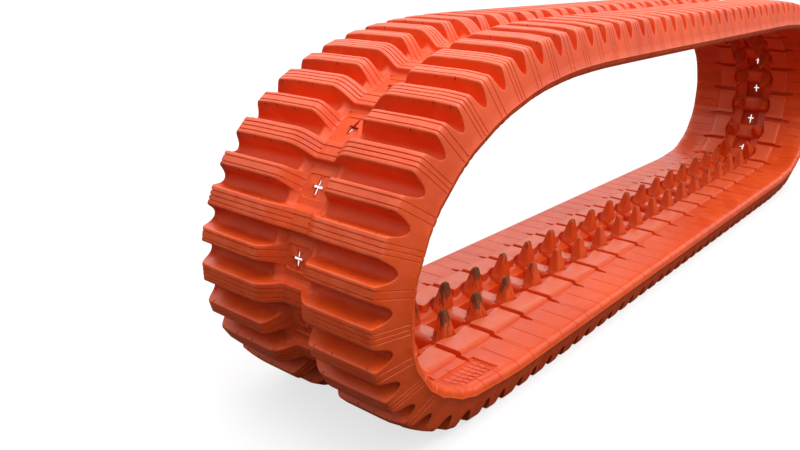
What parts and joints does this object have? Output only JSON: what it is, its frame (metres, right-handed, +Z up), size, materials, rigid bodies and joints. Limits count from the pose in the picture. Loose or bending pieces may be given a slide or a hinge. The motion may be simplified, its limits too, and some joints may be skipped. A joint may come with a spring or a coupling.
{
  "type": "rubber track",
  "caption": "Endless orange rubber crawler track loop with block tread lugs, roller pads, sprocket windows and steel cores with guide horns.",
  "frame": {"origin": "centre of the loop's footprint, on the surface that the tread lugs of the lower run stand on", "axes": "+X along the loop toward the end away from the camera, +Y across the track toward the far edge, +Z up"},
  "size_m": [1.8776, 0.332, 0.5123],
  "materials": {
    "orange_rubber": "moulded, semi-matt",
    "cord_ply": "steel cord calendered in black rubber, matt",
    "forged_core": "forged steel coated with the track's colour, worn dark at the tips"
  },
  "bodies": {
    "ground_run": {"rubber_ground_run": "orange_rubber", "cord_ply_ground_run": "cord_ply", "steel_core_01": "forged_core", "steel_core_02": "forged_core", "steel_core_03": "forged_core", "steel_core_04": "forged_core", "steel_core_05": "forged_core", "steel_core_06": "forged_core", "steel_core_07": "forged_core", "steel_core_08": "forged_core", "steel_core_09": "forged_core", "steel_core_10": "forged_core", "steel_core_11": "forged_core", "steel_core_12": "forged_core", "steel_core_13": "forged_core", "steel_core_14": "forged_core", "steel_core_15": "forged_core", "steel_core_16": "forged_core"},
    "front_lower_bend": {"rubber_front_lower_bend": "orange_rubber", "cord_ply_front_lower_bend": "cord_ply", "steel_core_17": "forged_core", "steel_core_18": "forged_core", "steel_core_19": "forged_core", "steel_core_20": "forged_core"},
    "front_upper_bend": {"rubber_front_upper_bend": "orange_rubber", "cord_ply_front_upper_bend": "cord_ply", "steel_core_21": "forged_core", "steel_core_22": "forged_core", "steel_core_23": "forged_core", "steel_core_24": "forged_core"},
    "top_run": {"rubber_top_run": "orange_rubber", "cord_ply_top_run": "cord_ply", "steel_core_25": "forged_core", "steel_core_26": "forged_core", "steel_core_27": "forged_core", "steel_core_28": "forged_core", "steel_core_29": "forged_core", "steel_core_30": "forged_core", "steel_core_31": "forged_core", "steel_core_32": "forged_core", "steel_core_33": "forged_core", "steel_core_34": "forged_core", "steel_core_35": "forged_core", "steel_core_36": "forged_core", "steel_core_37": "forged_core", "steel_core_38": "forged_core", "steel_core_39": "forged_core"},
    "rear_upper_bend": {"rubber_rear_upper_bend": "orange_rubber", "cord_ply_rear_upper_bend": "cord_ply", "steel_core_40": "forged_core", "steel_core_41": "forged_core", "steel_core_42": "forged_core", "steel_core_43": "forged_core"},
    "rear_lower_bend": {"rubber_rear_lower_bend": "orange_rubber", "cord_ply_rear_lower_bend": "cord_ply", "steel_core_44": "forged_core", "steel_core_45": "forged_core", "steel_core_46": "forged_core", "steel_core_47": "forged_core"}
  },
  "joints": [
    {"name": "front_ground_flex", "type": "hinge", "parent": "ground_run", "child": "front_lower_bend", "pos_m": [-0.67897, 0, 0.042], "axis": [0, 1, 0], "range_deg": [-3.5, 3.5], "stiffness_Nm_per_rad": 40000},
    {"name": "front_middle_flex", "type": "hinge", "parent": "front_lower_bend", "child": "front_upper_bend", "pos_m": [-0.89562, 0, 0.23854], "axis": [0, 1, 0], "range_deg": [-6.8, 6.8]},
    {"name": "front_top_flex", "type": "hinge", "parent": "front_upper_bend", "child": "top_run", "pos_m": [-0.65272, 0, 0.45088], "axis": [0, 1, 0], "range_deg": [-3.3, 3.3]},
    {"name": "rear_top_flex", "type": "hinge", "parent": "top_run", "child": "rear_upper_bend", "pos_m": [0.65272, 0, 0.45088], "axis": [0, 1, 0], "range_deg": [-3.3, 3.3]},
    {"name": "rear_middle_flex", "type": "hinge", "parent": "rear_upper_bend", "child": "rear_lower_bend", "pos_m": [0.89562, 0, 0.23854], "axis": [0, 1, 0], "range_deg": [-6.8, 6.8]}
  ],
  "couplings": [
    {"joint": "front_middle_flex", "follows": "front_ground_flex", "ratio": -1.9251},
    {"joint": "front_top_flex", "follows": "front_ground_flex", "ratio": 0.92514},
    {"joint": "rear_top_flex", "follows": "front_ground_flex", "ratio": 0.92514},
    {"joint": "rear_middle_flex", "follows": "front_ground_flex", "ratio": -1.9251}
  ]
}
